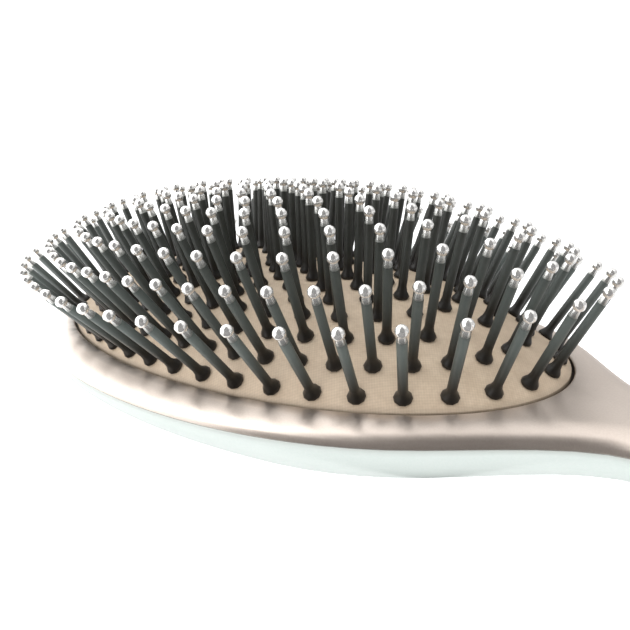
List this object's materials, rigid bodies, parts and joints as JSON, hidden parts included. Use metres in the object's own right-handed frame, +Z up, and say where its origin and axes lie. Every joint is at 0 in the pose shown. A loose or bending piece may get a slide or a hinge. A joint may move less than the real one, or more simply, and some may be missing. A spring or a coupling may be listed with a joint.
{
  "type": "detangling brush",
  "caption": "Oval cushion hairbrush: a domed rubber pad of splayed, ball-tipped nylon pins in a two-colour plastic body with a rounded handle.",
  "frame": {"origin": "centre of the head, on the surface that the brush lies on with its pins up", "axes": "+X from the head to the end of the handle, +Z up along the pins, +Y across the brush"},
  "size_m": [0.2257, 0.0724, 0.0343],
  "materials": {
    "champagne_face": "satin metallic paint on moulded plastic",
    "pearl_back": "pale pearl, semi-gloss",
    "frame_plastic": "plain moulded, hidden",
    "cushion_rubber": "dull, finely grained",
    "pin_nylon": "satin charcoal nylon",
    "ball_tip": "bright silver"
  },
  "bodies": {
    "housing": {"front_shell": "champagne_face", "back_shell": "pearl_back", "cushion_frame": "frame_plastic", "cushion": "cushion_rubber"},
    "centre": {"pins_centre": "pin_nylon", "tips_centre": "ball_tip"},
    "row_1": {"pins_row_1": "pin_nylon", "tips_row_1": "ball_tip"},
    "row_2": {"pins_row_2": "pin_nylon", "tips_row_2": "ball_tip"},
    "row_3": {"pins_row_3": "pin_nylon", "tips_row_3": "ball_tip"},
    "row_4": {"pins_row_4": "pin_nylon", "tips_row_4": "ball_tip"},
    "row_5": {"pins_row_5": "pin_nylon", "tips_row_5": "ball_tip"},
    "row_6": {"pins_row_6": "pin_nylon", "tips_row_6": "ball_tip"}
  },
  "joints": [
    {"name": "cushion_press", "type": "slide", "parent": "housing", "child": "centre", "axis": [0, 0, -1], "range_m": [0, 0.0047], "stiffness_N_per_m": 600, "springref_m": -0.001, "deforming": ["cushion"]},
    {"name": "row_1_sink", "type": "slide", "parent": "housing", "child": "row_1", "axis": [0, 0, -1], "range_m": [0, 0.00117]},
    {"name": "row_2_sink", "type": "slide", "parent": "housing", "child": "row_2", "axis": [0, 0, -1], "range_m": [0, 0.0021]},
    {"name": "row_3_sink", "type": "slide", "parent": "housing", "child": "row_3", "axis": [0, 0, -1], "range_m": [0, 0.0029]},
    {"name": "row_4_sink", "type": "slide", "parent": "housing", "child": "row_4", "axis": [0, 0, -1], "range_m": [0, 0.00353]},
    {"name": "row_5_sink", "type": "slide", "parent": "housing", "child": "row_5", "axis": [0, 0, -1], "range_m": [0, 0.00399]},
    {"name": "row_6_sink", "type": "slide", "parent": "housing", "child": "row_6", "axis": [0, 0, -1], "range_m": [0, 0.00431]}
  ],
  "couplings": [
    {"joint": "row_1_sink", "follows": "cushion_press", "ratio": 0.2472},
    {"joint": "row_2_sink", "follows": "cushion_press", "ratio": 0.4447},
    {"joint": "row_3_sink", "follows": "cushion_press", "ratio": 0.6149},
    {"joint": "row_4_sink", "follows": "cushion_press", "ratio": 0.7495},
    {"joint": "row_5_sink", "follows": "cushion_press", "ratio": 0.8476},
    {"joint": "row_6_sink", "follows": "cushion_press", "ratio": 0.9155}
  ]
}
